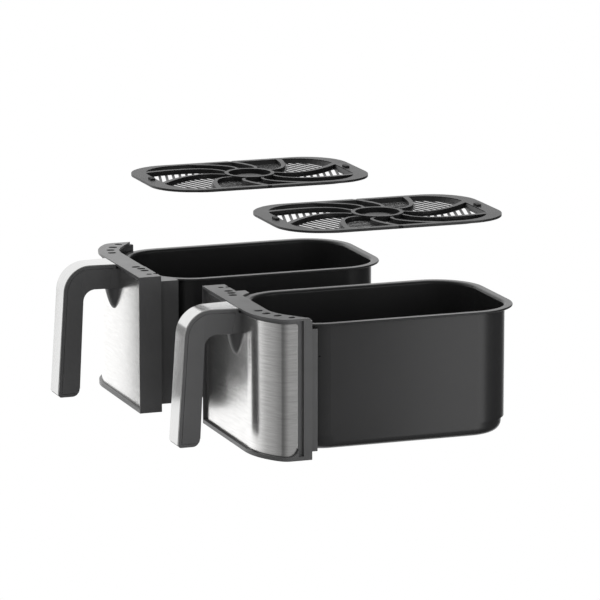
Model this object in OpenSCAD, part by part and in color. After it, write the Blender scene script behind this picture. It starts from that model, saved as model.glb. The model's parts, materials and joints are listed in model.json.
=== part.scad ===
// Two-basket air fryer: the pair of drawers and their crisper plates.
// Each drawer is a coated pan with a moulded front housing, a wrapped steel
// panel and an arched handle.  The left drawer is the mirror of the right one.
// A drawer is drawn with its pan centred on the origin, -Y to the front,
// +X to its outer side and Z = 0 on the table.

/* [Pan] */
// Width over the rolled rim
rim_w = 172.8; // [150:0.1:200]
// Length over the rolled rim
rim_l = 260; // [220:0.5:300]
// Corner radius of the rolled rim
rim_r = 51.4; // [46:0.1:58]
// Height of the rim's top above the table
rim_z = 135.9; // [110:0.1:170]
// How far the rim stands out from the wall
rim_lip = 8.2; // [6:0.1:11]
// Thickness of the pan's sheet
pan_sheet = 1.2; // [0.8:0.1:2]
// Height of the pan's floor above the table
pan_floor_z = 5.3; // [4:0.1:8]
// Radius between wall and floor
pan_floor_r = 10; // [6:0.5:13]
// Depth of the step at both ends that carries the crisper plate
seat_step = 3; // [2:0.1:4]
// Height of that step above the table
seat_z = 20; // [17:0.5:40]
// Distance from the wall to the pressed foot of the floor
foot_inset = 37; // [30:1:45]

/* [Crisper plate] */
// Gap between plate and pan wall
plate_gap = 0.8; // [0.5:0.1:2]
// Corner radius of the plate
plate_r = 47; // [43:0.5:56]
// Height of the plate's edge
plate_edge_h = 2.4; // [2:0.1:5]
// Depth of the cells below the plate's top
cell_depth = 3.8; // [2:0.1:6]
// Thickness of the plate's floor and deck
plate_sheet = 0.8; // [0.8:0.1:2]
// Width of the flat band along the plate's long sides
band_side = 7; // [5:0.5:14]
// Width of the flat band at the plate's ends
band_end = 16; // [14:0.5:24]
// Number of swirling ribs
rib_count = 10; // [6:2:14]
// Width of the slope from the band down to the floor
cell_slope = 2.5; // [1.5:0.5:14]
// Width of a rib at the hub
rib_w = 3; // [2:0.1:4]
// How much wider a rib is at the band
rib_flare = 1.2; // [0:0.1:2]
// Outer radius of the hub ring
hub_r = 26.5; // [20:0.5:32]
// Width of the hub ring
hub_w = 4; // [3:0.1:6]
// Width of an air slit
slit_w = 4.4; // [3:0.1:7]
// Distance from one slit to the next
slit_pitch = 7.2; // [6:0.1:14]
// Plain floor left round a cell's slits
slit_margin = 2; // [1:0.1:4]
// How far the slits lean from square across their cell, in degrees
slit_lean = 6; // [0:1:20]
// How far the plate is held above its seat
plate_lift = 203.8; // [150:0.1:260]

/* [Front housing] */
// Distance from the pan's centre to the outer side
outer_x = 90; // [89:0.1:110]
// Distance from the pan's centre to the inner side
inner_x = 96; // [92:0.1:110]
// Depth from the pan's rim to the front face
housing_depth = 24.4; // [20:0.1:40]
// Radius of the sweep from the front to the outer corner
wrap_big_r = 78; // [70:0.5:90]
// Radius of the outer corner
wrap_r = 14; // [10:0.5:18]
// Length of the outer side behind the corner
outer_tail = 22; // [18:0.1:26]
// Height of the cap's top above the pan's rim
cap_rise = 8.1; // [7.5:0.1:30]
// Thickness of the top cap
cap_t = 2.4; // [2:0.1:4]
// Thickness of the moulded walls
wall_t = 2.4; // [2:0.1:3]
// Thickness of the steel panel
panel_t = 0.6; // [0.5:0.1:1]
// How far the panel lies behind the border's face
panel_set = 3; // [0.8:0.1:4]
// Thickness of the wall behind the panel
back_t = 1.8; // [1.4:0.1:2.4]
// Height of the plastic border below the panel
border_bottom = 4.2; // [3:0.1:8]
// Height of the plastic border above the panel, with the cap
border_top = 5.4; // [4.5:0.1:9]
// Radius of the panel's lower rear corner
panel_corner_r = 10; // [4:0.5:16]
// Radius of the panel's upper rear corner
panel_tip_r = 2.5; // [1:0.5:6]
// Length of an air slot in the cap
slot_l = 9; // [6:0.1:10]
// Width of an air slot in the cap
slot_w = 7; // [2:0.1:8]

/* [Handle] */
// Width of the grip
grip_w = 26.6; // [22:0.2:34]
// Width of the arm where it meets the panel
root_w = 35; // [30:0.2:44]
// Length of the arm, from the panel to the bend's centre
arm_l = 27.1; // [22:0.1:40]
// How far the arm's top lies below the cap's top
arm_drop = 0.6; // [0.2:0.1:5]
// Height of the arm
arm_h = 26; // [22:0.1:34]
// Outer radius of the bend
bend_out = 29.4; // [24:0.1:34]
// Inner radius of the bend
bend_in = 13; // [8:0.1:16]
// Length from the bend's centre to the inner bend's centre
bend_shift = 5.3; // [3:0.1:8]
// Lean of the grip's outer face, in degrees
lean_out = 3.9; // [1:0.1:6]
// Lean of the grip's inner face, in degrees
lean_in = 2.9; // [1:0.1:5]
// Height of the grip's end above the table
grip_z = 3.6; // [2:0.1:20]
// Thickness of the metal trim on the handle
trim_t = 1.2; // [0.8:0.1:2]
// Film of adhesive between the trim and the handle
trim_bond = 0.05; // [0.02:0.01:0.2]
// Distance of the side groove from the handle's edge
groove_in = 3; // [2:0.1:4]

/* [Keel under the arm] */
// Half width of the keel where it meets the arm
keel_half = 17; // [8:0.1:17.4]
// How far the keel stands out from the panel there
keel_out = 6; // [3:0.1:10]
// Height of the keel below the arm
keel_h = 24.8; // [14:0.1:40]

/* [Fasteners] */
// Radius of the housing screws
screw_r = 1.5; // [1.2:0.1:2]
// Radius of the handle screws
handle_screw_r = 2; // [1.5:0.1:2.5]
// Radial gap round screws
shank_gap = 0.1; // [0.05:0.01:0.2]
// Gap between housing pieces that slide together
fit_gap = 0.2; // [0.1:0.05:0.4]

/* [Pair] */
// Distance between the two pan centres
pitch = 253; // [240:1:320]
// How far the left drawer stands in front of the right one
stagger = 48; // [0:1:120]

/* [Hidden] */
$fn = 64;
eps = 0.01;
tuck = 0.005; // keeps the end of a tangent line just inside its arc

// pan
pan_w = rim_w - 2 * rim_lip;
pan_l = rim_l - 2 * rim_lip;
pan_r = rim_r - rim_lip;
low_l = pan_l - 2 * seat_step;
bead_r = 1.1;
lip_fillet = 3;
foot_w = pan_w - 2 * foot_inset;
foot_l = low_l - 2 * foot_inset;
foot_r = 20;
pan_front = -pan_l / 2;

// housing
housing_h = rim_z + cap_rise;
front_y = -rim_l / 2 - housing_depth;
sweep_reach = 56;
sweep_cx = outer_x - sweep_reach;
sweep_cy = front_y + wrap_big_r;
wrap_cx = outer_x - wrap_r;
wrap_reach = wrap_big_r - wrap_r;
wrap_cy = sweep_cy - sqrt(wrap_reach * wrap_reach - (wrap_cx - sweep_cx) * (wrap_cx - sweep_cx));
wrap_turn = atan2(wrap_cy - sweep_cy, wrap_cx - sweep_cx);
outer_end = wrap_cy + outer_tail;
rim_clear = 1.5;
cap_rear = -rim_l / 2 - rim_clear;
inner_end = cap_rear + 1;
frame_top = housing_h - cap_t;
skin_in = panel_set + panel_t + back_t;
panel_z0 = border_bottom;
panel_z1 = housing_h - border_top;
panel_inner = inner_x - 1.2;
panel_end = outer_end - 14.3;
channel_w = 5.5;
pocket_past = 26; // how far the pocket starts past the rim's corner centre
pocket_x = rim_w / 2 - rim_r + pocket_past;
pocket_y = cap_rear + 6.2;
cover_front = cap_rear + 2.1;
cover_rear = cover_front + wall_t;
cover_z0 = 7;
ledge_gap = 0.6;
cover_z1 = rim_z - 4.4;
wing_out_end = outer_end + 7.7;
wing_in_end = inner_end + 20.6;

small_slot = 5; // width of the slots beside the inner side
// slots of the cap: x, distance from the front, turn, length, width
slot_places = [
    [38.6, 13.4, 4, slot_l, slot_w], [53.4, 16.4, 12, slot_l, slot_w],
    [67.2, 23.4, 26, slot_l, slot_w], [80.4, 33.6, 38, slot_l - 1, slot_w - 1],
    [-41.5, 14.1, 0, slot_l, slot_w], [-52, 16.4, 0, slot_l, slot_w], [-62.4, 16.8, 0, slot_l, slot_w],
    [-82, 15.4, 0, small_slot + 1, small_slot], [-81.5, 23, 0, small_slot + 1, small_slot]
];

// fasteners
screw_head_r = 2 * screw_r;
screw_head_h = 2;
boss_r = screw_r + 2.2;
boss_l = 12;
boss_in = 17;
boss_out = 40;
boss_end = 19.5;
boss_x = [-inner_x + boss_in, outer_x - boss_out];
boss_z = [cover_z0 + boss_end - 2.5, cover_z1 - boss_end];
bracket_w = 92;
bracket_z0 = 34;
bracket_drop = 31.9; // from the rim down to the bracket's upper edge
bracket_z1 = rim_z - bracket_drop;
bracket_t = 1.6;
bracket_rear = pan_front;
bracket_tab = 12;
bracket_pin_x = bracket_w / 2 - bracket_tab / 2;
bracket_z = [bracket_z0 + 10, bracket_z1 - 10];
arm_top = housing_h - arm_drop;
arm_under = arm_top - arm_h;
keel_z = arm_under - keel_h;
handle_screw_x = 8;
handle_screw_z = (arm_top + arm_under) / 2;
handle_screw_l = 18;
seat_y = front_y + panel_set + panel_t;
pad_t = back_t + 3;
rib_x = [-50, -27, 24];
stiff_z0 = 40;
stiff_pitch = 28;
stiff_end = 14;
stiff_t = 1.6;
stiff_reach = 5;
stiff_rows = floor((cover_z1 - stiff_z0) / stiff_pitch);
leg_x = [-inner_x + 18, -30, 30];

// handle
bend_y = front_y - arm_l;
bend_z = arm_top - bend_out;
bend_in_y = bend_y + bend_shift;
bend_in_z = arm_under - bend_in;
grip_out_y = bend_y - bend_out * cos(lean_out)
    - (bend_z + bend_out * sin(lean_out) - grip_z) * tan(lean_out);
grip_in_y = bend_in_y - bend_in * cos(lean_in)
    - (bend_in_z + bend_in * sin(lean_in) - grip_z) * tan(lean_in);
panel_y = front_y + panel_set;
keel_in = (keel_half * keel_half - keel_out * keel_out) / 2 / keel_out;
keel_grow = keel_out / (arm_under - keel_z);
toe_r = 3;
heel_r = 8;
trim_end = 3;
groove_w = 0.6;

// crisper plate
plate_w = pan_w - 2 * pan_sheet - 2 * plate_gap;
plate_l = pan_l - 2 * pan_sheet - 2 * plate_gap;
field_w = plate_w - 2 * band_side;
field_l = plate_l - 2 * band_end;
field_r = plate_r - band_side;
seat_gap = 0.3;
plate_seat_z = seat_z + pan_sheet + seat_gap;
plate_top = plate_seat_z + plate_edge_h + plate_lift;
rib_step = 360 / rib_count;
rib_steps = 14;
slit_rows = floor((field_l / 2 - hub_r) / slit_pitch);
rib_start = -73.5;
plug_l = 10;
plug_w = 3.4;
plug_y = plate_l / 2 - band_end / 2 - 3;

// places of the two drawers on the table
trim_front = grip_out_y + trim_end * tan(lean_out);
total_l = rim_l / 2 - trim_front + stagger;
right_at = [pitch / 2, total_l / 2 - rim_l / 2, 0];
left_at = [-pitch / 2, total_l / 2 - rim_l / 2 - stagger, 0];

coating = "#2b2b2c";
plastic = "#3a3a3b";
steel = "#c4c4c2";
zinc = "#9a9a98";
silicone = "#1b1b1b";

// ---------- helpers ----------

// rectangle with true round corners
module round_rect(w, l, r) {
    square([w - 2 * r, l], center = true);
    square([w, l - 2 * r], center = true);
    for (sx = [-1, 1], sy = [-1, 1])
        translate([sx * (w / 2 - r), sy * (l / 2 - r)]) circle(r);
}

// sweeps a profile round such a rectangle, with x measured from the corner centres
module sweep_round(w, l, r) {
    for (turn = [0, 180])
        rotate(turn) {
            translate([w / 2 - r, l / 2 - r, 0]) rotate_extrude(angle = 90) children();
            translate([r - w / 2, l / 2 - r, 0]) rotate(90) rotate_extrude(angle = 90) children();
            translate([w / 2 - r, l / 2 - r, 0]) rotate([90, 0, 0]) linear_extrude(l - 2 * r) children();
            rotate(90) translate([l / 2 - r, w / 2 - r, 0]) rotate([90, 0, 0])
                linear_extrude(w - 2 * r) children();
        }
}

// quarter of a ring in the corner below and beyond its centre
module quarter_ring(outer, inner, turn) {
    rotate(turn) intersection() {
        difference() {
            circle(outer);
            circle(inner);
        }
        square(outer);
    }
}

// cylinder along +Y
module rod_y(r, l) {
    rotate([-90, 0, 0]) cylinder(r = r, h = l);
}

// plan of the housing up to a rear line, drawn in by d from its outer faces
module housing_plan(d, rear) {
    side = [outer_x - d, wrap_cy];
    meet = [wrap_cx, wrap_cy] + (wrap_r - d) * [cos(wrap_turn), sin(wrap_turn)];
    intersection() {
        union() {
            // wide sweep, cut off along the corner's chord
            intersection() {
                translate([sweep_cx, sweep_cy]) circle(wrap_big_r - d, $fn = 180);
                polygon([meet, side, [0, wrap_cy], [0, front_y], [meet[0], front_y]]);
            }
            translate([wrap_cx, wrap_cy]) circle(wrap_r - d);
            translate([-inner_x + d, front_y + d]) square([sweep_cx + inner_x - d, rim_l]);
            translate([0, wrap_cy]) square([outer_x - d, rim_l]);
        }
        translate([-inner_x, front_y]) square([inner_x + outer_x, rear - front_y]);
    }
}

// plan of a housing wall between two depths
module wall_plan(d_out, d_in, rear) {
    difference() {
        housing_plan(d_out, rear);
        housing_plan(d_in, rear + 1);
    }
}

// ---------- pan ----------

module pan_wall_low() {
    translate([pan_r - pan_sheet, pan_floor_z + pan_floor_r])
        square([pan_sheet, seat_z - pan_floor_z - pan_floor_r + pan_sheet]);
    translate([pan_r - pan_floor_r, pan_floor_z + pan_floor_r])
        quarter_ring(pan_floor_r, pan_floor_r - pan_sheet, -90);
    translate([0, pan_floor_z]) square([pan_r - pan_floor_r, pan_sheet]);
}

module pan_wall_high() {
    translate([pan_r - pan_sheet, seat_z]) square([pan_sheet, rim_z - lip_fillet - seat_z]);
    translate([pan_r - pan_sheet + lip_fillet, rim_z - lip_fillet])
        quarter_ring(lip_fillet, lip_fillet - pan_sheet, 90);
    translate([pan_r - pan_sheet + lip_fillet, rim_z - pan_sheet])
        square([rim_lip + pan_sheet - lip_fillet - bead_r, pan_sheet]);
    translate([rim_r - bead_r, rim_z - bead_r]) circle(bead_r);
}

module pan() {
    color(coating)
    difference() {
        union() {
            sweep_round(pan_w, pan_l, pan_r) pan_wall_high();
            sweep_round(pan_w, low_l, pan_r) pan_wall_low();
            translate([0, 0, pan_floor_z]) linear_extrude(pan_sheet)
                square([pan_w - 2 * pan_r, low_l - 2 * pan_r], center = true);
            // ledge at both ends
            translate([0, 0, seat_z]) linear_extrude(pan_sheet) difference() {
                round_rect(pan_w, pan_l, pan_r);
                round_rect(pan_w - 2 * pan_sheet, low_l - 2 * pan_sheet, pan_r - pan_sheet);
            }
            linear_extrude(pan_floor_z + pan_sheet) round_rect(foot_w, foot_l, foot_r);
        }
        translate([0, 0, pan_sheet]) linear_extrude(pan_floor_z + 1)
            round_rect(foot_w - 2 * pan_sheet, foot_l - 2 * pan_sheet, foot_r - pan_sheet);
    }
}

// ---------- bracket between pan and housing ----------

module pan_bracket() {
    tab_front = cover_rear;
    color(zinc)
    difference() {
        union() {
            // flat that lies on the pan
            translate([-bracket_w / 2 + bracket_tab, bracket_rear - bracket_t, bracket_z0])
                cube([bracket_w - 2 * bracket_tab, bracket_t, bracket_z1 - bracket_z0]);
            for (s = [-1, 1]) {
                // joggle to the cover
                translate([s * (bracket_w / 2 - bracket_tab) - bracket_t / 2, tab_front, bracket_z0])
                    cube([bracket_t, bracket_rear - tab_front, bracket_z1 - bracket_z0]);
                translate([s * (bracket_w / 2 - bracket_tab / 2) - bracket_tab / 2, tab_front, bracket_z0])
                    cube([bracket_tab, bracket_t, bracket_z1 - bracket_z0]);
            }
        }
        for (x = [-bracket_pin_x, bracket_pin_x], z = bracket_z)
            translate([x, tab_front - 1, z]) rod_y(screw_r + shank_gap, bracket_t + 2);
        // lightening window
        translate([0, bracket_rear - bracket_t - 1, (bracket_z0 + bracket_z1) / 2])
            rod_y(11, bracket_t + 2);
    }
}

module bracket_screws() {
    color(zinc)
    for (x = [-bracket_pin_x, bracket_pin_x], z = bracket_z)
        translate([x, cover_front, z]) {
            rod_y(screw_r, wall_t + bracket_t + 2);
            translate([0, -screw_head_h, 0]) rod_y(screw_head_r, screw_head_h);
        }
}

// ---------- moulded housing ----------

// plan of the cover's wings, which follow the frame's walls from inside
module wing_plan(rear) {
    difference() {
        housing_plan(skin_in + fit_gap, rear);
        housing_plan(skin_in + fit_gap + wall_t, rear + 1);
        translate([-inner_x, front_y]) square([inner_x + outer_x, cover_front - front_y]);
    }
}

module rear_cover() {
    inner_face = -inner_x + skin_in + fit_gap;
    color(plastic)
    difference() {
        union() {
            // wall behind the pan's front
            translate([0, 0, cover_z0]) linear_extrude(cover_z1 - cover_z0) difference() {
                housing_plan(skin_in + fit_gap, cover_rear);
                translate([-inner_x, front_y]) square([inner_x + outer_x, cover_front - front_y]);
            }
            // outer wing that clasps the pan's corner
            translate([0, 0, cover_z0]) linear_extrude(cover_z1 - cover_z0) intersection() {
                wing_plan(wing_out_end);
                translate([0, cover_front]) square([outer_x, rim_l]);
            }
            // inner wing, a little higher
            translate([0, 0, cover_z0]) linear_extrude(rim_z + 1.4 - cover_z0) intersection() {
                wing_plan(wing_in_end);
                translate([-inner_x, cover_front]) square([inner_x, rim_l]);
            }
            // shelf that closes the corner beside the rim
            translate([0, 0, rim_z - 0.6]) linear_extrude(2) difference() {
                translate([inner_face, cover_front])
                    square([inner_x - rim_w / 2 + 16, wing_in_end - cover_front]);
                round_rect(rim_w + 2 * rim_clear, rim_l + 2 * rim_clear, rim_r + rim_clear);
            }
            // ledge that closes the corner beside the pan, under the rim
            translate([0, 0, cover_z1 - wall_t]) linear_extrude(wall_t) difference() {
                housing_plan(skin_in + fit_gap, wing_out_end);
                translate([-inner_x, front_y]) square([inner_x + outer_x, cover_front - front_y]);
                translate([-inner_x, cover_front]) square([inner_x, rim_l]);
                round_rect(pan_w + 2 * ledge_gap, pan_l + 2 * ledge_gap, pan_r + ledge_gap);
            }
            // stiffening ribs on the front of the wall
            for (i = [0:stiff_rows - 1])
                translate([
                    -bracket_w / 2 + stiff_end, cover_front - stiff_reach, stiff_z0 + i * stiff_pitch
                ])
                    cube([bracket_w - 2 * stiff_end, stiff_reach + eps, stiff_t]);
            // sockets for the frame's bosses
            for (x = boss_x, z = boss_z)
                translate([x, cover_front - 3, z]) rod_y(boss_r + 2, 3 + eps);
        }
        for (x = boss_x, z = boss_z) {
            translate([x, cover_front - 4, z]) rod_y(screw_r + shank_gap, wall_t + 6);
            translate([x, cover_rear - 1.2, z]) rod_y(screw_head_r + 0.4, 3);
        }
        for (x = [-bracket_pin_x, bracket_pin_x], z = bracket_z)
            translate([x, cover_front - 1, z]) rod_y(screw_r + shank_gap, wall_t + 2);
    }
}

module cover_screws() {
    color(zinc)
    for (x = boss_x, z = boss_z)
        translate([x, cover_rear - 1.2 - boss_l, z]) {
            rod_y(screw_r, boss_l);
            translate([0, boss_l, 0]) rod_y(screw_head_r, screw_head_h);
        }
}

// outline, seen from the side, of the part of the panel that wraps the corner
module panel_side(grow) {
    y0 = front_y - 1;
    y1 = panel_end + grow;
    z0 = panel_z0 - grow;
    z1 = panel_z1 + grow;
    translate([y0, z0]) square([y1 - y0 - panel_corner_r, z1 - z0]);
    translate([y0, z0 + panel_corner_r]) square([y1 - y0, z1 - z0 - panel_corner_r - panel_tip_r]);
    translate([y1 - panel_corner_r, z0 + panel_corner_r]) circle(panel_corner_r);
    translate([y0, z1 - panel_tip_r - eps]) square([y1 - y0 - panel_tip_r, panel_tip_r + eps]);
    translate([y1 - panel_tip_r, z1 - panel_tip_r]) circle(panel_tip_r);
}

// plan of where the panel lies: along the front, and on the outer side
module panel_zone(grow) {
    translate([-panel_inner - grow, front_y - 1])
        square([panel_inner + grow + eps, 1 + panel_set + panel_t]);
    translate([0, front_y - 1]) square([outer_x + 2, rim_l]);
}

// room that the panel takes, grown on its edges
module panel_room(grow) {
    intersection() {
        translate([-panel_inner - grow, 0, 0]) rotate([90, 0, 90])
            linear_extrude(panel_inner + outer_x + 2) panel_side(grow);
        translate([0, 0, -1]) linear_extrude(housing_h + 2) panel_zone(grow);
    }
}

// holes for the handle's screws
module handle_holes(from_y, l) {
    for (x = [-handle_screw_x, handle_screw_x])
        translate([x, from_y, handle_screw_z]) rod_y(handle_screw_r + shank_gap, l);
}

// opening in the panel for the handle's root
module root_room(grow) {
    translate([-root_w / 2 - grow, front_y - 1, arm_under - grow])
        cube([root_w + 2 * grow, skin_in, panel_z1 - arm_under + 2 * grow]);
}

module front_frame() {
    boss_front = front_y + panel_set + panel_t;
    color(plastic)
    difference() {
        union() {
            // outer skin and wall
            linear_extrude(frame_top) wall_plan(0, skin_in, outer_end);
            // closed bottom
            linear_extrude(wall_t) housing_plan(skin_in / 2, inner_end);
            // bosses that take the cover's screws
            for (x = boss_x, z = boss_z)
                translate([x, boss_front, z]) rod_y(boss_r, cover_front - 3 - fit_gap - boss_front);
            // ribs behind the front face
            for (x = rib_x)
                translate([x - 0.8, boss_front, wall_t - eps]) cube([1.6, 9, frame_top - wall_t - 14]);
            // pad behind the handle
            translate([-root_w / 2, boss_front, keel_z])
                cube([root_w, pad_t, frame_top - keel_z - 4]);
        }
        // inner side stops at the cap
        translate([-inner_x - 1, inner_end, -1]) cube([inner_x, rim_l, housing_h]);
        // recess for the panel
        intersection() {
            panel_room(fit_gap);
            translate([0, 0, -1]) linear_extrude(housing_h + 2)
                wall_plan(-1, panel_set + panel_t, outer_end);
        }
        // channel behind the panel's edge
        intersection() {
            translate([0, panel_end, panel_z0]) cube([outer_x + 1, channel_w, panel_z1 - panel_z0]);
            translate([0, 0, -1]) linear_extrude(housing_h + 2)
                wall_plan(-1, panel_set + panel_t, outer_end);
        }
        // shadow gap between the panel and the cap
        translate([0, 0, panel_z1 - panel_tip_r]) linear_extrude(border_top + panel_tip_r) intersection() {
            panel_zone(fit_gap);
            wall_plan(-1, panel_set + panel_t, panel_end + channel_w);
        }
        for (x = boss_x, z = boss_z)
            translate([x, cover_front - 2 - boss_l, z]) rod_y(screw_r + shank_gap, boss_l + 3);
        handle_holes(front_y - 1, pad_t + 8);
    }
}

module steel_panel() {
    color(steel)
    difference() {
        intersection() {
            linear_extrude(housing_h) wall_plan(panel_set, panel_set + panel_t, outer_end);
            panel_room(0);
        }
        root_room(fit_gap);
    }
}

// one air slot of the cap
module air_slot(l, w) {
    square([l - w, w], center = true);
    for (s = [-1, 1]) translate([s * (l - w) / 2, 0]) circle(w / 2);
}

// slots across the cap, each turned to stand square to its edge
module cap_slots() {
    for (s = slot_places)
        translate([s[0], front_y + s[1]]) rotate(90 + s[2]) air_slot(s[3], s[4]);
}

module top_cap() {
    color(plastic)
    difference() {
        union() {
            translate([0, 0, frame_top]) linear_extrude(cap_t) difference() {
                housing_plan(0, outer_end - 1.6);
                // the rear edge runs along the rim and clears its corner
                round_rect(rim_w + 2 * rim_clear, rim_l + 2 * rim_clear, rim_r + rim_clear);
                translate([-inner_x - 1, inner_end]) square([inner_x, rim_l]);
                // open pocket beside the rim's outer corner
                polygon([
                    [pocket_x, pocket_y],
                    [outer_x, outer_end - 2],
                    [outer_x, outer_end + 1],
                    [pocket_x, outer_end + 1]
                ]);
            }
            // lip that hangs down in front of the rim
            translate([-inner_x + skin_in + fit_gap, cap_rear - wall_t, cover_z1 + 0.6])
                cube([
                    inner_x - skin_in - fit_gap + rim_w / 2 - rim_r, wall_t, frame_top - cover_z1 - 0.6 + eps
                ]);
            // legs that locate the cap inside the frame
            for (x = leg_x)
                translate([x - 5, front_y + skin_in + fit_gap, frame_top - 8]) cube([10, 1.6, 8 + eps]);
        }
        translate([0, 0, frame_top - 1]) linear_extrude(cap_t + 2) cap_slots();
    }
}

// ---------- handle ----------

// side view of the handle: y to the right, z up, drawn in by the two depths
module handle_side(d_out, d_in) {
    lean_c = bend_z + bend_out * sin(lean_out);
    difference() {
        union() {
            translate([bend_y, arm_under + d_in])
                square([front_y - bend_y, arm_top - d_out - arm_under - d_in]);
            // tenon that goes through the panel to the frame
            translate([front_y - eps, arm_under + d_in])
                square([seat_y - front_y + eps, panel_z1 - fit_gap - arm_under - d_in]);
            translate([bend_y, bend_z]) circle(bend_out - d_out);
            polygon([
                [bend_y - (bend_out - d_out) * cos(lean_out), bend_z + (bend_out - d_out) * sin(lean_out)],
                [bend_y, bend_z],
                [bend_in_y, bend_in_z],
                [bend_in_y - (bend_in + d_in) * cos(lean_in), bend_in_z + (bend_in + d_in) * sin(lean_in)],
                [grip_in_y - d_in, grip_z],
                [grip_out_y + d_out, grip_z]
            ]);
        }
        // finger room behind the grip
        translate([bend_in_y, bend_in_z]) circle(bend_in + d_in);
        translate([bend_in_y - eps, grip_z - 1])
            square([seat_y - bend_in_y + 1, arm_under + d_in - grip_z + 1]);
        polygon([
            [bend_in_y, bend_in_z],
            [bend_in_y - (bend_in + d_in) * cos(lean_in), bend_in_z + (bend_in + d_in) * sin(lean_in)],
            [grip_in_y - d_in, grip_z],
            [grip_in_y - d_in, grip_z - 1],
            [bend_in_y, grip_z - 1]
        ]);
        // rounded lower end
        translate([grip_in_y - d_in, grip_z]) toe_cut(heel_r);
        translate([grip_out_y + d_out, grip_z]) mirror([1, 0]) toe_cut(toe_r);
    }
}

// what a radius takes off a lower right corner at the origin
module toe_cut(r) {
    difference() {
        translate([-r, -1]) square([r + 2, r + 1]);
        translate([-r, r]) circle(r);
    }
}

// plan of the handle: wide at the panel, narrower at the grip
module handle_plan(d) {
    reach = -grip_out_y + front_y + 1;
    neck = arm_l * 1.3;
    polygon([
        [-root_w / 2 + d, seat_y],
        [-root_w / 2 + d, front_y],
        [-grip_w / 2 + d, front_y - neck],
        [-grip_w / 2 + d, front_y - reach],
        [grip_w / 2 - d, front_y - reach],
        [grip_w / 2 - d, front_y - neck],
        [root_w / 2 - d, front_y],
        [root_w / 2 - d, seat_y]
    ]);
}

module handle_block(d) {
    translate([0, 0, grip_z - 1]) linear_extrude(arm_top) handle_plan(d);
}

// extrudes a side view across the handle
module across(w) {
    translate([-w / 2, 0, 0]) rotate([90, 0, 90]) linear_extrude(w) children();
}

// shield-shaped keel under the arm: the slice of a cone that stands out of the panel
module keel() {
    sunk = 2;
    rise = arm_under + 1 - keel_z;
    intersection() {
        translate([0, panel_y + keel_in, keel_z - sunk])
            cylinder(
                r1 = keel_in - sunk * keel_grow, r2 = keel_in + rise * keel_grow, h = rise + sunk, $fn = 180
            );
        translate([-keel_half - 2, panel_y - 2 * keel_out, keel_z - 1])
            cube([2 * keel_half + 4, 2 * keel_out, rise + 1]);
    }
}

// side panel of the handle that the groove goes round, drawn in by d
module groove_field(d) {
    intersection() {
        handle_side(trim_t + d, -groove_in);
        translate([grip_out_y, grip_z + d]) square([front_y - d - grip_out_y, arm_top]);
    }
}

module handle_body() {
    color(plastic)
    difference() {
        union() {
            intersection() {
                across(root_w) handle_side(trim_t + trim_bond, 0);
                handle_block(0);
            }
            keel();
        }
        // fine groove on both sides, which stays open along the fingers
        difference() {
            across(root_w + 2) difference() {
                groove_field(groove_in);
                groove_field(groove_in + groove_w);
            }
            handle_block(groove_w);
        }
        handle_holes(front_y - handle_screw_l, handle_screw_l + skin_in);
    }
}

// side view of all that lies inside the trim's face, drawn in by d
module trim_field(d) {
    r = bend_out - d;
    bend = [bend_y, bend_z];
    out_side = [-cos(lean_out), sin(lean_out)];
    foot = [grip_out_y + trim_end * tan(lean_out) + d / cos(lean_out), grip_z + trim_end];
    translate(bend) square([arm_l, r]);
    intersection() {
        translate(bend) circle(r);
        translate(bend - [2 * r, 0]) square(2 * r);
    }
    polygon([bend, bend + (r - tuck) * out_side, foot, [bend_y, grip_z + trim_end]]);
}

// side view of the trim: over the arm, round the bend and down the grip
module trim_side() {
    difference() {
        trim_field(0);
        trim_field(trim_t);
    }
}

module handle_trim() {
    color(steel)
    intersection() {
        across(root_w) trim_side();
        handle_block(0);
    }
}

module handle_screws() {
    reach = seat_y + pad_t - front_y + handle_screw_l - 1;
    color(zinc)
    for (x = [-handle_screw_x, handle_screw_x])
        translate([x, front_y - handle_screw_l + 1, handle_screw_z]) {
            rod_y(handle_screw_r, reach);
            translate([0, reach, 0]) rod_y(2 * handle_screw_r, screw_head_h);
        }
}

// ---------- crisper plate ----------

function polar(r, a) = [r * cos(a), r * sin(a)];
function bezier(p, t) = (1 - t) * (1 - t) * p[0] + 2 * t * (1 - t) * p[1] + t * t * p[2];
function slope(p, t) = 2 * (1 - t) * (p[1] - p[0]) + 2 * t * (p[2] - p[1]);
function left_of(v) = [-v[1], v[0]] / norm(v);
// distance from the centre to the field's side in a direction
function field_reach(a) = min(field_w / 2 / max(abs(cos(a)), 0.01), field_l / 2 / max(abs(sin(a)), 0.01));
// control points of the swirl that ends at angle a
function swirl(a) = [
    polar(hub_r - hub_w / 2, a - 17.5),
    polar(0.6 * field_reach(a), a - 47.5),
    polar(field_reach(a) + 8, a)
];

// half the width of a rib at a share of its length
function rib_half(t) = rib_w / 2 * (1 + rib_flare * t * t);
// points beside a swirl, at the rib's half width and a margin
function beside(p, side, margin) = [
    for (i = [0:rib_steps])
        let (t = i / rib_steps)
        bezier(p, t) + side * left_of(slope(p, t)) * (rib_half(t) + margin)
];
function backwards(points) = [for (i = [len(points) - 1:-1:0]) points[i]];

// one rib in plan, wider towards the band
module rib_plan(a) {
    polygon(concat(beside(swirl(a), 1, 0), backwards(beside(swirl(a), -1, 0))));
}

// the cell between the rib at angle a and the next one, less the margin
module cell_plan(a) {
    polygon(concat(
        beside(swirl(a), 1, slit_margin),
        backwards(beside(swirl(a + rib_step), -1, slit_margin))
    ));
}

// the row of slits across that cell
module cell_slits(a) {
    middle = bezier(swirl(a + rib_step / 2), 0.6);
    intersection() {
        cell_plan(a);
        rotate(atan2(middle[1], middle[0]) + slit_lean)
            for (i = [0:slit_rows - 1])
                translate([hub_r + 7 + i * slit_pitch, 0]) square([slit_w, field_w], center = true);
    }
}

module all_ribs() {
    for (i = [0:rib_count - 1]) rib_plan(rib_start + i * rib_step);
}

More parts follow.
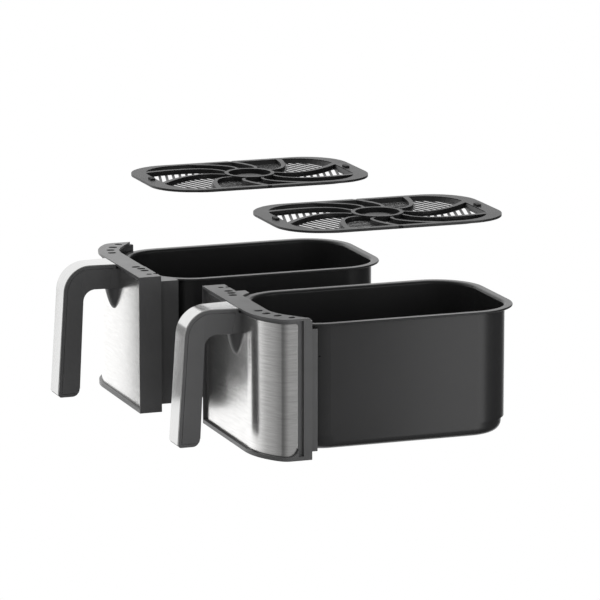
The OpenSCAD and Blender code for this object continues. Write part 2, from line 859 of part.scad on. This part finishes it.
// all slits, kept clear of the hub and the band
module slit_field() {
    inset = cell_slope + slit_margin;
    intersection() {
        round_rect(field_w - 2 * inset, field_l - 2 * inset, field_r - inset);
        difference() {
            for (i = [0:rib_count - 1]) cell_slits(rib_start + i * rib_step);
            circle(hub_r + slit_margin);
        }
    }
}

// hollow below the band, wider at its top, grown outwards and down by t
module bowl(t) {
    top_w = field_w + 2 * t;
    top_l = field_l + 2 * t;
    low_w = top_w - 2 * cell_slope;
    low_l = top_l - 2 * cell_slope;
    hull() {
        translate([0, 0, plate_top - plate_sheet]) linear_extrude(t > 0 ? plate_sheet : plate_sheet + 1)
            round_rect(top_w, top_l, field_r + t, $fn = 40);
        translate([0, 0, plate_top - cell_depth - t]) linear_extrude(eps)
            round_rect(low_w, low_l, field_r + t - cell_slope, $fn = 40);
    }
}

module crisper_plate() {
    floor_z = plate_top - cell_depth - plate_sheet;
    color(coating)
    difference() {
        union() {
            // deck with the cells' field cut out
            translate([0, 0, plate_top - plate_sheet]) linear_extrude(plate_sheet) difference() {
                round_rect(plate_w, plate_l, plate_r);
                round_rect(field_w, field_l, field_r);
            }
            // edge that hangs down
            translate([0, 0, plate_top - plate_edge_h]) linear_extrude(plate_edge_h) difference() {
                round_rect(plate_w, plate_l, plate_r);
                round_rect(plate_w - 2 * plate_sheet, plate_l - 2 * plate_sheet, plate_r - plate_sheet);
            }
            // bowl that holds the cells, with its ribs and slits
            difference() {
                bowl(plate_sheet);
                difference() {
                    bowl(0);
                    translate([0, 0, floor_z]) linear_extrude(cell_depth + plate_sheet) all_ribs();
                    translate([0, 0, floor_z]) cylinder(r = hub_r, h = cell_depth + plate_sheet);
                }
                translate([0, 0, floor_z - 1]) linear_extrude(cell_depth + plate_sheet + 2) slit_field();
                translate([0, 0, floor_z + plate_sheet]) cylinder(r = hub_r - hub_w, h = cell_depth + 1);
            }
            // hub ring and the raised disc inside it
            translate([0, 0, floor_z + plate_sheet]) linear_extrude(cell_depth + 0.8) difference() {
                circle(hub_r);
                circle(hub_r - hub_w);
            }
            translate([0, 0, floor_z]) cylinder(r = hub_r / 2, h = plate_sheet + 1);
        }
        // notch in the middle of both long edges
        for (s = [-1, 1])
            translate([s * plate_w / 2, -s * 4, plate_top - plate_edge_h - 1])
                cylinder(r = 2.4, h = plate_edge_h + 3);
        // seats of the plugs
        for (s = [-1, 1])
            translate([0, s * plug_y, plate_top - plate_sheet - 1])
                linear_extrude(plate_sheet + 2) square([plug_l, plug_w], center = true);
    }
}

// silicone plugs pushed through the band at both ends
module plate_plugs() {
    color(silicone)
    for (s = [-1, 1])
        translate([0, s * plug_y, plate_top]) {
            translate([0, 0, -plate_sheet]) linear_extrude(plate_sheet)
                square([plug_l - 0.2, plug_w - 0.2], center = true);
            linear_extrude(1.8) round_rect(plug_l + 1.6, plug_w + 1.6, 1.6);
            translate([0, 0, -plate_sheet - 1.6])
                linear_extrude(1.6) round_rect(plug_l + 1.2, plug_w + 1.2, 1.4);
        }
}

// ---------- placing ----------

module right() {
    translate(right_at) children();
}

module left() {
    translate(left_at) mirror([1, 0, 0]) children();
}

// the plates are alike, so the left one isn't mirrored
module left_plain() {
    translate(left_at) children();
}

module right_pan() { right() pan(); }
module right_pan_bracket() { right() pan_bracket(); }
module right_bracket_screws() { right() bracket_screws(); }
module right_rear_cover() { right() rear_cover(); }
module right_cover_screws() { right() cover_screws(); }
module right_front_frame() { right() front_frame(); }
module right_steel_panel() { right() steel_panel(); }
module right_top_cap() { right() top_cap(); }
module right_handle_body() { right() handle_body(); }
module right_handle_trim() { right() handle_trim(); }
module right_handle_screws() { right() handle_screws(); }
module right_crisper_plate() { right() crisper_plate(); }
module right_plate_plugs() { right() plate_plugs(); }
module left_pan() { left() pan(); }
module left_pan_bracket() { left() pan_bracket(); }
module left_bracket_screws() { left() bracket_screws(); }
module left_rear_cover() { left() rear_cover(); }
module left_cover_screws() { left() cover_screws(); }
module left_front_frame() { left() front_frame(); }
module left_steel_panel() { left() steel_panel(); }
module left_top_cap() { left() top_cap(); }
module left_handle_body() { left() handle_body(); }
module left_handle_trim() { left() handle_trim(); }
module left_handle_screws() { left() handle_screws(); }
module left_crisper_plate() { left_plain() crisper_plate(); }
module left_plate_plugs() { left_plain() plate_plugs(); }

right_pan();
right_pan_bracket();
right_bracket_screws();
right_rear_cover();
right_cover_screws();
right_front_frame();
right_steel_panel();
right_top_cap();
right_handle_body();
right_handle_trim();
right_handle_screws();
right_crisper_plate();
right_plate_plugs();
left_pan();
left_pan_bracket();
left_bracket_screws();
left_rear_cover();
left_cover_screws();
left_front_frame();
left_steel_panel();
left_top_cap();
left_handle_body();
left_handle_trim();
left_handle_screws();
left_crisper_plate();
left_plate_plugs();
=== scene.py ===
import json
import math

import bmesh
import bpy
from mathutils import Matrix, Vector


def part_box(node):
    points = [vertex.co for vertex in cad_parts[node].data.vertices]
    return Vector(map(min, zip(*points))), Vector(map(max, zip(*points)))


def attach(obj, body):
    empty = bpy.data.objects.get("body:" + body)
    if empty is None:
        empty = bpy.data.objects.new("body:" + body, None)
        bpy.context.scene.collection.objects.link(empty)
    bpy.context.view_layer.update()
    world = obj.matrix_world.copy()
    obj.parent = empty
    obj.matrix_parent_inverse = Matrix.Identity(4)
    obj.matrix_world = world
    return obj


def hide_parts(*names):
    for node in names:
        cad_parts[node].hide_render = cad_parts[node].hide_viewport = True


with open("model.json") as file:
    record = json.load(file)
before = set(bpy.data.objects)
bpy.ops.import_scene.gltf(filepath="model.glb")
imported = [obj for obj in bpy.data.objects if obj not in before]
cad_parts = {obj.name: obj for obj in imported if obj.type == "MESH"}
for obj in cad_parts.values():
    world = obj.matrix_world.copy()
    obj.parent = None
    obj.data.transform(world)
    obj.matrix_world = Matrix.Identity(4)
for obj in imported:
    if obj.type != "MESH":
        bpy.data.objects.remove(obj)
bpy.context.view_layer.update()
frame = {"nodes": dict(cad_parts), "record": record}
scene = bpy.context.scene
sides = ("right", "left")
print("frame loaded:", len(frame["nodes"]), "parts")


# shader building

def addNode(tree, kind, values=None, **settings):
    node = tree.nodes.new(kind)
    for name, value in settings.items():
        setattr(node, name, value)
    for name, value in (values or {}).items():
        node.inputs[name].default_value = value
    return node


def join(tree, *pairs):
    for start, end in pairs:
        tree.links.new(start, end)


def startGroup(name, inputs, outputs):
    group = bpy.data.node_groups.new(name, "ShaderNodeTree")
    for label, kind, default in inputs:
        socket = group.interface.new_socket(label, in_out="INPUT", socket_type="NodeSocket" + kind)
        socket.default_value = default
    for label, kind in outputs:
        group.interface.new_socket(label, in_out="OUTPUT", socket_type="NodeSocket" + kind)
    return group, addNode(group, "NodeGroupInput"), addNode(group, "NodeGroupOutput")


# soft cloudy change of tone and gloss over a moulded or coated face
toneGroup, groupIn, groupOut = startGroup(
    "unevenTone",
    [("Color", "Color", (0.05, 0.05, 0.05, 1)), ("Roughness", "Float", 0.4),
     ("Size", "Vector", (20.0, 20.0, 20.0)),
     ("Tone Change", "Float", 0.1), ("Gloss Change", "Float", 0.1)],
    [("Color", "Color"), ("Roughness", "Float")])
coords = addNode(toneGroup, "ShaderNodeTexCoord")
stretch = addNode(toneGroup, "ShaderNodeVectorMath", operation="MULTIPLY")
cloud = addNode(toneGroup, "ShaderNodeTexNoise", {"Scale": 1.0, "Detail": 4.0, "Roughness": 0.6})
centred = addNode(toneGroup, "ShaderNodeMath", {1: 0.5}, operation="SUBTRACT")
toneShift = addNode(toneGroup, "ShaderNodeMath", {2: 1.0}, operation="MULTIPLY_ADD")
glossShift = addNode(toneGroup, "ShaderNodeMath", operation="MULTIPLY_ADD")
toned = addNode(toneGroup, "ShaderNodeVectorMath", operation="SCALE")
join(toneGroup,
     (coords.outputs["Object"], stretch.inputs[0]),
     (groupIn.outputs["Size"], stretch.inputs[1]),
     (stretch.outputs[0], cloud.inputs["Vector"]),
     (cloud.outputs["Fac"], centred.inputs[0]),
     (centred.outputs[0], toneShift.inputs[0]),
     (groupIn.outputs["Tone Change"], toneShift.inputs[1]),
     (centred.outputs[0], glossShift.inputs[0]),
     (groupIn.outputs["Gloss Change"], glossShift.inputs[1]),
     (groupIn.outputs["Roughness"], glossShift.inputs[2]),
     (groupIn.outputs["Color"], toned.inputs[0]),
     (toneShift.outputs[0], toned.inputs["Scale"]),
     (toned.outputs[0], groupOut.inputs["Color"]),
     (glossShift.outputs[0], groupOut.inputs["Roughness"]))

# fine relief, drawn out along one way for a brushed face
grainGroup, groupIn, groupOut = startGroup(
    "fineGrain", [("Pitch", "Vector", (1000.0, 1000.0, 1000.0)), ("Detail", "Float", 3.0)],
    [("Height", "Float")])
coords = addNode(grainGroup, "ShaderNodeTexCoord")
spread = addNode(grainGroup, "ShaderNodeVectorMath", operation="MULTIPLY")
grain = addNode(grainGroup, "ShaderNodeTexNoise", {"Scale": 1.0, "Roughness": 0.7})
join(grainGroup,
     (coords.outputs["Object"], spread.inputs[0]),
     (groupIn.outputs["Pitch"], spread.inputs[1]),
     (spread.outputs[0], grain.inputs["Vector"]),
     (groupIn.outputs["Detail"], grain.inputs["Detail"]),
     (grain.outputs["Fac"], groupOut.inputs["Height"]))


def placeGroup(tree, group, values):
    node = addNode(tree, "ShaderNodeGroup", node_tree=group)
    for label, value in values.items():
        node.inputs[label].default_value = value
    return node


def mixFinish(name, finish):
    material = bpy.data.materials.new(name)
    material.use_nodes = True
    tree = material.node_tree
    shader = tree.nodes["Principled BSDF"]
    for label, value in finish["shader"].items():
        shader.inputs[label].default_value = value
    tone = placeGroup(tree, toneGroup, finish["tone"])
    grain = placeGroup(tree, grainGroup, finish["grain"])
    relief = {"Strength": finish["relief"], "Distance": finish["reliefDepth"]}
    bump = addNode(tree, "ShaderNodeBump", relief)
    join(tree,
         (tone.outputs["Color"], shader.inputs["Base Color"]),
         (tone.outputs["Roughness"], shader.inputs["Roughness"]),
         (grain.outputs["Height"], bump.inputs["Height"]),
         (bump.outputs["Normal"], shader.inputs["Normal"]))
    if "brushAxis" in finish:  # the highlight spreads across the brush lines
        tangent = addNode(tree, "ShaderNodeTangent", direction_type="RADIAL", axis=finish["brushAxis"])
        join(tree, (tangent.outputs["Tangent"], shader.inputs["Tangent"]))
    return material


housingPlastic = mixFinish("housingPlastic", {
    "shader": {"Specular IOR Level": 0.5},
    "tone": {"Color": (0.068, 0.068, 0.069, 1), "Roughness": 0.3, "Size": (30, 30, 30), "Tone Change": 0.25,
             "Gloss Change": 0.12},
    "grain": {"Pitch": (2600, 2600, 2600), "Detail": 2.0}, "relief": 0.25, "reliefDepth": 0.00002})
panCoating = mixFinish("panCoating", {
    "shader": {"Specular IOR Level": 0.5},
    "tone": {"Color": (0.015, 0.015, 0.0154, 1), "Roughness": 0.3, "Size": (12, 12, 12), "Tone Change": 0.3,
             "Gloss Change": 0.14},
    "grain": {"Pitch": (1500, 1500, 1500), "Detail": 3.0}, "relief": 0.15, "reliefDepth": 0.00003})
plateCoating = mixFinish("plateCoating", {
    "shader": {"Specular IOR Level": 0.5},
    "tone": {"Color": (0.01, 0.01, 0.0103, 1), "Roughness": 0.42, "Size": (25, 25, 25), "Tone Change": 0.3,
             "Gloss Change": 0.1},
    "grain": {"Pitch": (1500, 1500, 1500), "Detail": 3.0}, "relief": 0.06, "reliefDepth": 0.00003})
# belly under the handle's arm: a darker, glossier copy of the housing plastic, its darker colour is painted
# shade
keelPaintedShade = mixFinish("keelPaintedShade", {
    "shader": {"Specular IOR Level": 0.5},
    "tone": {"Color": (0.01, 0.01, 0.0102, 1), "Roughness": 0.14, "Size": (60, 60, 60), "Tone Change": 0.2,
             "Gloss Change": 0.05},
    "grain": {"Pitch": (1800, 1800, 1800), "Detail": 2.0}, "relief": 0.15, "reliefDepth": 0.00001})
brushedSteel = mixFinish("brushedSteel", {
    "shader": {"Metallic": 1.0, "Anisotropic": 0.7, "Anisotropic Rotation": 0.25},
    "tone": {"Color": (0.86, 0.855, 0.845, 1), "Roughness": 0.2, "Size": (45, 45, 900), "Tone Change": 0.5,
             "Gloss Change": 0.12},
    "grain": {"Pitch": (40, 40, 1500), "Detail": 4.0}, "relief": 0.5, "reliefDepth": 0.00006,
    "brushAxis": "Z"})
trimSteel = mixFinish("trimSteel", {
    "shader": {"Metallic": 1.0},
    "tone": {"Color": (0.66, 0.66, 0.655, 1), "Roughness": 0.15, "Size": (900, 50, 50), "Tone Change": 0.3,
             "Gloss Change": 0.1},
    "grain": {"Pitch": (2600, 60, 60), "Detail": 3.0}, "relief": 0.3, "reliefDepth": 0.00003})
zincPlate = mixFinish("zincPlate", {
    "shader": {"Metallic": 1.0},
    "tone": {"Color": (0.55, 0.55, 0.53, 1), "Roughness": 0.35, "Size": (90, 90, 90), "Tone Change": 0.2,
             "Gloss Change": 0.2},
    "grain": {"Pitch": (900, 900, 900), "Detail": 3.0}, "relief": 0.1, "reliefDepth": 0.0001})
plugSilicone = mixFinish("plugSilicone", {
    "shader": {"Specular IOR Level": 0.4},
    "tone": {"Color": (0.008, 0.008, 0.008, 1), "Roughness": 0.6, "Size": (200, 200, 200),
             "Tone Change": 0.3, "Gloss Change": 0.1},
    "grain": {"Pitch": (2000, 2000, 2000), "Detail": 2.0}, "relief": 0.2, "reliefDepth": 0.0001})
print("finishes mixed")


# pieces with broken edges, each from the part it stands for

# merge is in metres, and flat, cornerFrom and creaseFrom are in degrees
easing = {"merge": 2e-6, "flat": 0.3, "cornerFrom": 28, "creaseFrom": 35, "segments": 2, "evenness": 100}


def turnsBy(edge, degrees):
    return len(edge.link_faces) == 2 and edge.calc_face_angle() > math.radians(degrees)


def easeEdges(part, body, finish, width, swellAndShade=None):
    source = frame["nodes"][part]
    mesh = source.data.copy()
    mesh.name = part + "Eased"
    shape = bmesh.new()
    shape.from_mesh(mesh)
    bmesh.ops.remove_doubles(shape, verts=shape.verts, dist=easing["merge"])
    bmesh.ops.dissolve_limit(shape, angle_limit=math.radians(easing["flat"]), verts=shape.verts,
                             edges=shape.edges)
    corners = [edge for edge in shape.edges if turnsBy(edge, easing["cornerFrom"])]
    bmesh.ops.bevel(shape, geom=corners, offset=width, offset_type="OFFSET", segments=easing["segments"],
                    profile=0.5, affect="EDGES", clamp_overlap=True, material=-1)
    if swellAndShade:
        swellAndShade["shape"](shape)
    for face in shape.faces:
        face.smooth = True
        # faces of the belly under the handle's arm take the darker plastic, painted shade
        if swellAndShade and swellAndShade["inside"](face.calc_center_median()):
            face.material_index = 1
    for edge in shape.edges:
        edge.smooth = not turnsBy(edge, easing["creaseFrom"])
    shape.to_mesh(mesh)
    shape.free()
    mesh.materials.clear()
    mesh.materials.append(finish)
    # second material: the darker plastic that paints shade on the belly
    if swellAndShade:
        mesh.materials.append(swellAndShade["finish"])
    piece = bpy.data.objects.new(part + "Eased", mesh)
    scene.collection.objects.link(piece)
    evened = piece.modifiers.new("evenShade", "WEIGHTED_NORMAL")  # broad faces stay flat beside their bevels
    evened.mode = "FACE_AREA"
    evened.weight = easing["evenness"]
    evened.keep_sharp = True
    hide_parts(part)
    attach(piece, body)


edgeWidths = {"pan_bracket": 0.0002, "rear_cover": 0.0004, "front_frame": 0.0005, "steel_panel": 0.00015,
              "top_cap": 0.0004, "handle_body": 0.0007, "handle_trim": 0.0003}
finishOf = {"pan": panCoating, "pan_bracket": zincPlate, "bracket_screws": zincPlate,
            "rear_cover": housingPlastic, "cover_screws": zincPlate, "front_frame": housingPlastic,
            "steel_panel": brushedSteel, "top_cap": housingPlastic, "handle_body": housingPlastic,
            "handle_trim": trimSteel, "handle_screws": zincPlate, "crisper_plate": plateCoating,
            "plate_plugs": plugSilicone}
bodyOf = {part: body for body, parts in frame["record"]["behaviour"]["bodies"].items() for part in parts}
# belly under the handle's arm: the arm's own height, how far the belly hangs below it, is sunk into it
# and stands off the panel, and how much fuller than the part's belly it is
keel = {"armHeight": 0.02485, "hang": 0.0247, "sunk": 0.0013, "reach": 0.0061, "onPanel": 0.00002,
        "fuller": 1.7, "cuts": 7, "tipShare": 0.02}


# the belly under the arm swells forward, and its faces take a darker copy of the plastic as painted shade
def keelSwellAndShade(side):
    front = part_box(side + "_steel_panel")[0].y
    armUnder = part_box(side + "_handle_body")[1].z - keel["armHeight"]
    tip = armUnder - keel["hang"]

    def inside(place):
        return place.z < armUnder and 0 < front - place.y < keel["reach"] * keel["fuller"]

    def swell(shape):  # the belly grows forward from the panel, most near its tip
        for cut in range(1, keel["cuts"]):
            faces = [face for face in shape.faces if inside(face.calc_center_median())]
            edges = list(dict.fromkeys(edge for face in faces for edge in face.edges))  # each once, in order
            verts = list(dict.fromkeys(vert for face in faces for vert in face.verts))
            level = tip + keel["hang"] * (cut / keel["cuts"]) ** 2
            bmesh.ops.bisect_plane(shape, geom=verts + edges + faces, plane_co=(0, 0, level),
                                   plane_no=(0, 0, 1))
        for vert in shape.verts:
            out = front - vert.co.y
            if tip < vert.co.z < armUnder + keel["sunk"] and keel["onPanel"] < out < keel["reach"]:
                share = min(1, max(keel["tipShare"], (vert.co.z - tip) / keel["hang"]))
                vert.co.y = front - out * keel["fuller"] / share ** 0.5

    return {"finish": keelPaintedShade, "inside": inside, "shape": swell}


for side in sides:
    # the handle body's belly swells, and is painted darker as shade
    swellsAndShades = {"handle_body": keelSwellAndShade(side)}
    for kind, finish in finishOf.items():
        part = side + "_" + kind
        if kind in edgeWidths:
            easeEdges(part, bodyOf[part], finish, edgeWidths[kind], swellsAndShades.get(kind))
        else:
            for place in frame["nodes"][part].material_slots:
                place.material = finish
    print(side, "pieces dressed")


# studio

studio = {"floorHalf": 12.0, "floorColor": (0.85, 0.85, 0.85, 1), "floorRoughness": 0.9,
          "fillStrength": 0.7, "seenStrength": 1.0}
white = (1, 1, 1, 1)


def stageMesh(name, shape, material):
    mesh = bpy.data.meshes.new(name)
    shape.to_mesh(mesh)
    shape.free()
    mesh.materials.append(material)
    stagePiece = bpy.data.objects.new(name, mesh)
    scene.collection.objects.link(stagePiece)
    return stagePiece


def seenWhite(tree, lightPath, dull, bright):  # bright to the camera and glass, dull for the light it gives
    seen = addNode(tree, "ShaderNodeMath", operation="MAXIMUM")
    blend = addNode(tree, "ShaderNodeMixShader")
    join(tree,
         (lightPath.outputs["Is Camera Ray"], seen.inputs[0]),
         (lightPath.outputs["Is Transmission Ray"], seen.inputs[1]),
         (seen.outputs[0], blend.inputs[0]),
         (dull.outputs[0], blend.inputs[1]),
         (bright.outputs[0], blend.inputs[2]))
    return blend


floorPaint = bpy.data.materials.new("floorPaint")
floorPaint.use_nodes = True
tree = floorPaint.node_tree
floorShader = tree.nodes["Principled BSDF"]
floorShader.inputs["Base Color"].default_value = studio["floorColor"]
floorShader.inputs["Roughness"].default_value = studio["floorRoughness"]
glow = addNode(tree, "ShaderNodeEmission", {"Color": white, "Strength": studio["seenStrength"]})
blend = seenWhite(tree, addNode(tree, "ShaderNodeLightPath"), floorShader, glow)
join(tree, (blend.outputs[0], tree.nodes["Material Output"].inputs["Surface"]))
shape = bmesh.new()
bmesh.ops.create_grid(shape, x_segments=1, y_segments=1, size=studio["floorHalf"])
floor = stageMesh("studioFloor", shape, floorPaint)
floor.visible_glossy = False  # gloss sees the room's walls instead, which reach below the floor

world = bpy.data.worlds.new("softRoom")
scene.world = world
world.use_nodes = True
tree = world.node_tree
tree.nodes.clear()
lightPath = addNode(tree, "ShaderNodeLightPath")
fill = addNode(tree, "ShaderNodeBackground", {"Color": white, "Strength": studio["fillStrength"]})
backdrop = addNode(tree, "ShaderNodeBackground", {"Color": white, "Strength": studio["seenStrength"]})
blend = seenWhite(tree, lightPath, fill, backdrop)

# what gloss mirrors: tones of the room's walls, by the turn from +X in degrees
walls = {"strength": 1.15,
         "tones": ((-180, 1.0), (-142, 1.0), (-124, 0.7), (-108, 0.38), (-90, 0.27), (-72, 0.1), (-52, 0.1),
                   (-30, 0.16), (0, 0.25), (38, 0.28), (72, 0.05), (122, 0.08), (142, 0.9), (180, 1.0))}
way = addNode(tree, "ShaderNodeTexCoord")
allRound = addNode(tree, "ShaderNodeTexGradient", gradient_type="RADIAL")
ramp = addNode(tree, "ShaderNodeValToRGB")
while len(ramp.color_ramp.elements) < len(walls["tones"]):
    ramp.color_ramp.elements.new(0.5)
for stop, (turn, tone) in zip(ramp.color_ramp.elements, walls["tones"]):
    stop.position = (turn + 180) / 360
    stop.color = (tone, tone, tone, 1)
mirrored = addNode(tree, "ShaderNodeBackground", {"Strength": walls["strength"]})
glossBlend = addNode(tree, "ShaderNodeMixShader")
worldOut = addNode(tree, "ShaderNodeOutputWorld")
join(tree,
     (way.outputs["Generated"], allRound.inputs["Vector"]),
     (allRound.outputs["Fac"], ramp.inputs["Fac"]),
     (ramp.outputs["Color"], mirrored.inputs["Color"]),
     (lightPath.outputs["Is Glossy Ray"], glossBlend.inputs[0]),
     (blend.outputs[0], glossBlend.inputs[1]),
     (mirrored.outputs[0], glossBlend.inputs[2]),
     (glossBlend.outputs[0], worldOut.inputs["Surface"]))

softboxes = {"topLeft": {"place": (-1.4, -1.6, 2.2), "aim": (0, 0, 0.1), "size": 1.8, "power": 26},
             "lowRight": {"place": (1.2, 0.4, 0.12), "aim": (0.1, 0, 0.08), "size": 0.7, "power": 9}}
for name, box in softboxes.items():
    lamp = bpy.data.lights.new(name, "AREA")
    lamp.shape = "SQUARE"
    lamp.size = box["size"]
    lamp.energy = box["power"]
    lampObject = bpy.data.objects.new(name, lamp)
    lampObject.location = box["place"]
    toObject = Vector(box["aim"]) - Vector(box["place"])
    lampObject.rotation_euler = toObject.to_track_quat("-Z", "Y").to_euler()
    lampObject.visible_glossy = False
    scene.collection.objects.link(lampObject)

# cards that only gloss sees, across from the right trim, the left panel's inner end and the right pan
cards = {"trimCard": {"x": -0.2, "y": (-0.32, -0.25), "z": (-0.014, 0.16), "tone": 0.24},
         "panelCard": {"x": -0.3, "y": (-0.236, -0.21), "z": (-0.06, 0.12), "tone": 0.08},
         "panCard": {"x": 0.6, "y": (0.22, 0.54), "z": (-0.3, 0.25), "tone": 1.5}}
for name, card in cards.items():
    cardPaint = bpy.data.materials.new(name)
    cardPaint.use_nodes = True
    tree = cardPaint.node_tree
    tree.nodes.clear()
    glow = addNode(tree, "ShaderNodeEmission", {"Color": white, "Strength": card["tone"]})
    join(tree, (glow.outputs[0], addNode(tree, "ShaderNodeOutputMaterial").inputs["Surface"]))
    low = Vector((card["x"], card["y"][0], card["z"][0]))
    high = Vector((card["x"], card["y"][1], card["z"][1]))
    size = high - low
    shape = bmesh.new()
    bmesh.ops.create_grid(shape, x_segments=1, y_segments=1, size=0.5)
    bmesh.ops.scale(shape, vec=(size.z, size.y, 1), verts=shape.verts)
    bmesh.ops.rotate(shape, matrix=Matrix.Rotation(math.pi / 2, 3, "Y"), verts=shape.verts)
    bmesh.ops.translate(shape, vec=(low + high) / 2, verts=shape.verts)
    cardObject = stageMesh(name, shape, cardPaint)
    cardObject.visible_camera = False
    cardObject.visible_diffuse = False
    cardObject.visible_transmission = False
    cardObject.visible_shadow = False
print("studio lit")


# camera

# aim is from the floor under the right pan's middle, and azimuth and elevation are in degrees
view = {"lens": 263.9, "sensor": 36, "azimuth": 70.05, "elevation": 11.889, "away": 4.45,
        "aim": (-0.0202, -0.0757, 0.1385), "clipEnd": 50}
panLow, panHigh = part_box("right_pan")
panMiddle = (panLow + panHigh) / 2
panMiddle.z = 0
turn = math.radians(view["azimuth"])
tilt = math.radians(view["elevation"])
ahead = Vector((-math.sin(turn) * math.cos(tilt), math.cos(turn) * math.cos(tilt), -math.sin(tilt)))
camera = bpy.data.cameras.new("camera")
camera.lens = view["lens"]
camera.sensor_width = view["sensor"]
camera.clip_end = view["clipEnd"]
cameraObject = bpy.data.objects.new("camera", camera)
cameraObject.location = panMiddle + Vector(view["aim"]) - view["away"] * ahead
cameraObject.rotation_euler = (math.pi / 2 - tilt, 0, turn)
scene.collection.objects.link(cameraObject)
scene.camera = cameraObject
scene.view_settings.view_transform = "Standard"
print("camera set")
